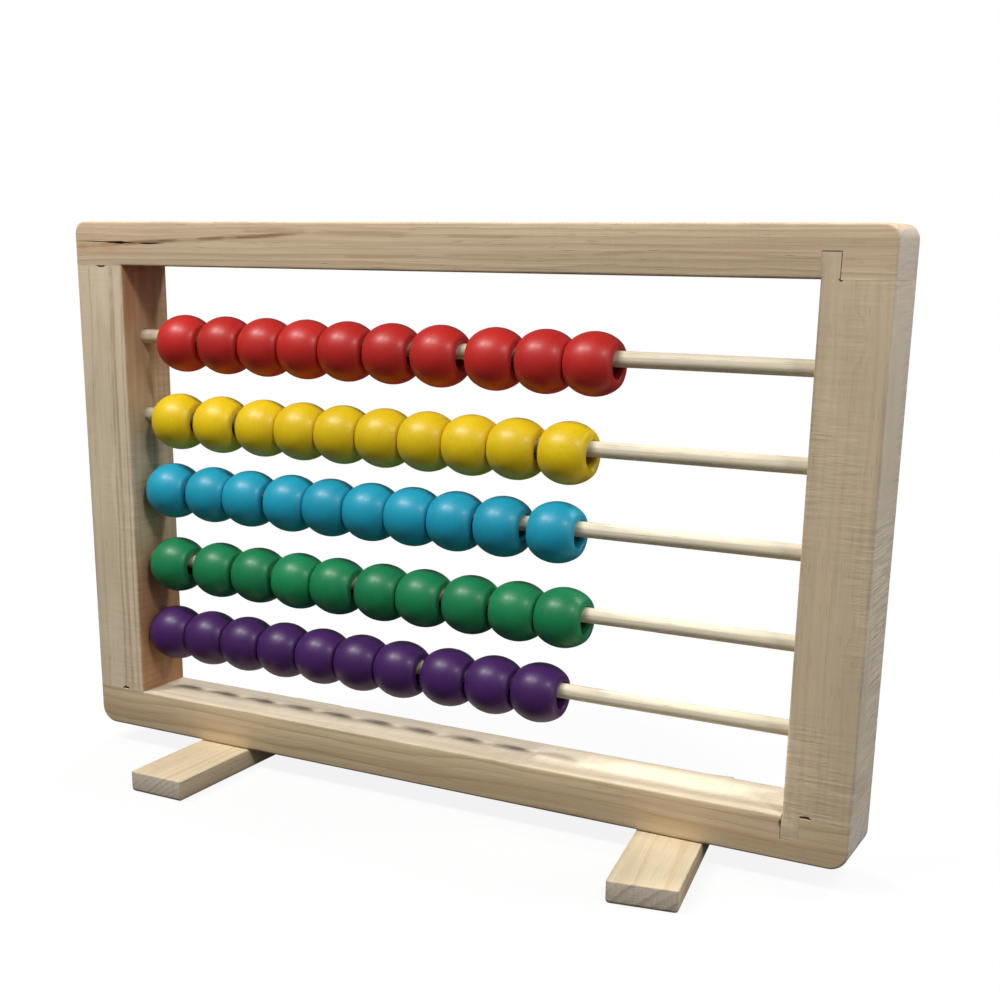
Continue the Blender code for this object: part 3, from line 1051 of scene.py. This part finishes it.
def make_screw(name, place_x):
    """A countersunk wood screw, head down, whose thread holds in the bottom rail."""
    neck = FRAME_BOTTOM + 1 * MM
    tip = FRAME_BOTTOM + SCREW_LENGTH_IN_RAIL
    head = (
        (SCREW_HEAD, 0.2 * MM),
        (SCREW_HEAD, 3.7 * MM),
        (SCREW_HEAD + 0.3 * MM, 4.05 * MM),
        (SCREW_HEAD + 2.5 * MM, 1.8 * MM),
        (neck, 1.8 * MM),
    )
    bm = bmesh.new()
    loops = [[bm.verts.new((x, y, z)) for x, y in circle(radius, SCREW_SIDES)] for z, radius in head]
    for step in range(SCREW_STEPS + 1):
        share = step / SCREW_STEPS
        z = neck + (tip - neck) * share
        taper = min(1.0, 1.15 - 0.9 * max(0.0, share - 0.72) / 0.28)
        loop = []
        for i, (x, y) in enumerate(circle(taper, SCREW_SIDES)):
            turn = (z / SCREW_PITCH - i / SCREW_SIDES) % 1.0
            radius = SCREW_CORE + SCREW_RIDGE * max(0.0, 1.0 - abs(turn - 0.5) / 0.28)
            loop.append(bm.verts.new((x * radius, y * radius, z)))
        loops.append(loop)
    skin(bm, loops)
    screw = new_object(name, mesh_of(name, bm))
    # A plain cross recess
    arm, width, depth = SCREW_RECESS
    for size in ((width, arm, depth), (arm, width, depth)):
        low, high = -Vector(size), Vector(size)
        low.z += SCREW_HEAD
        high.z += SCREW_HEAD
        combine(screw, box_tool((low, high)))
    give(screw, STEEL)
    screw.location = (place_x, 0, 0)
    smooth(screw, radians(35))
    place_piece(screw, "frame", "screw_steel")


# ---------------------------------------------------------------- stage


def make_camera():
    yaw, pitch, roll = CAMERA_YAW, CAMERA_PITCH, CAMERA_ROLL
    forward = Vector((-sin(yaw) * cos(pitch), cos(yaw) * cos(pitch), -sin(pitch)))
    right = Vector((cos(yaw), sin(yaw), 0))
    up = right.cross(forward)
    right, up = right * cos(roll) + up * sin(roll), up * cos(roll) - right * sin(roll)
    data = bpy.data.cameras.new("camera")
    data.sensor_width = 36.0
    data.lens = CAMERA_LENS
    data.shift_x, data.shift_y = CAMERA_SHIFT
    data.clip_start, data.clip_end = 0.01, 50.0
    data.dof.use_dof = False
    camera = new_object("camera", data)
    turn = Matrix((right, up, -forward)).transposed().to_4x4()
    camera.matrix_world = Matrix.Translation(CAMERA_PLACE) @ turn
    bpy.context.scene.camera = camera


FLOOR_RADIUS = 4.0
FLOOR_SIDES = 96
FLOOR_FADE = 0.7
FLOOR_SEEN = rgb(0.86, 0.86, 0.86)
FLOOR_GIVEN_BACK = rgb(0.06, 0.058, 0.054)
SURROUND_GREY = rgb(0.15, 0.15, 0.155)
WHITE = rgb(1.0, 1.0, 1.0)


def make_floor():
    """A pale floor that fades into the white background. It gives little light back to the object."""
    bm = bmesh.new()
    bmesh.ops.create_circle(bm, cap_ends=True, segments=FLOOR_SIDES, radius=FLOOR_RADIUS)
    floor = new_object("floor", mesh_of("floor", bm))
    g = Graph("floor_white")
    tree = g.tree
    tree.nodes.remove(g.shader)
    distance = g.length(g.node("TexCoord", out=OBJECT_OUTPUT))
    seen = g.node("LightPath")
    pale = g.node("BsdfDiffuse", FLOOR_SEEN)
    thrown = g.node("BsdfDiffuse", FLOOR_GIVEN_BACK)
    glow = g.node("Emission", WHITE, 1.0)
    shown = g.node("MixShader", g.ease(distance, 0.0, FLOOR_FADE, 0.88, 1.0), pale, glow)
    both = g.node("MixShader", seen, thrown, shown)
    tree.links.new(both, tree.nodes["Material Output"].inputs["Surface"])
    floor.data.materials.append(g.material)


def make_world():
    world = bpy.data.worlds.new("studio")
    bpy.context.scene.world = world
    world.use_nodes = True
    tree = world.node_tree
    background = tree.nodes["Background"]
    path = tree.nodes.new("ShaderNodeLightPath")
    choose = tree.nodes.new("ShaderNodeMix")
    choose.data_type = "RGBA"
    choose.inputs[6].default_value = SURROUND_GREY
    choose.inputs[7].default_value = WHITE
    tree.links.new(path.outputs["Is Camera Ray"], choose.inputs[0])
    tree.links.new(choose.outputs[2], background.inputs["Color"])


def make_light(name, place, side, power, colour):
    """A soft square light that looks at the middle of the abacus."""
    data = bpy.data.lights.new(name, "AREA")
    data.shape = "SQUARE"
    data.size = side
    data.energy = power
    data.color = colour
    light = new_object(name, data)
    light.location = place
    light.rotation_euler = (Vector(place) - Vector(LIGHT_TARGET)).to_track_quat("Z", "Y").to_euler()


def make_stage():
    make_camera()
    make_floor()
    make_world()
    for name, (place, side, power, colour) in LIGHTS.items():
        make_light(name, place, side, power, colour)
    bpy.context.scene.view_settings.view_transform = "Standard"


make_stage()
make_frame_bars()
for row_number, row_name in enumerate(ROW_NAMES):
    make_rod(row_name, row_number)
    dice = Random(row_name)
    for bead_number in range(1, BEADS_PER_ROD + 1):
        make_bead(row_name, bead_number, dice)
make_foot("left_foot", LEFT_FOOT_WOOD, 2.0)
make_foot("right_foot", RIGHT_FOOT_WOOD, 8.0)
for foot_name in FOOT_TURNS:
    joint = next(j for j in frame["joints"] if j["name"] == f"{foot_name}_swivel")
    make_screw(f"{foot_name}_screw", joint["pos_m"][0])
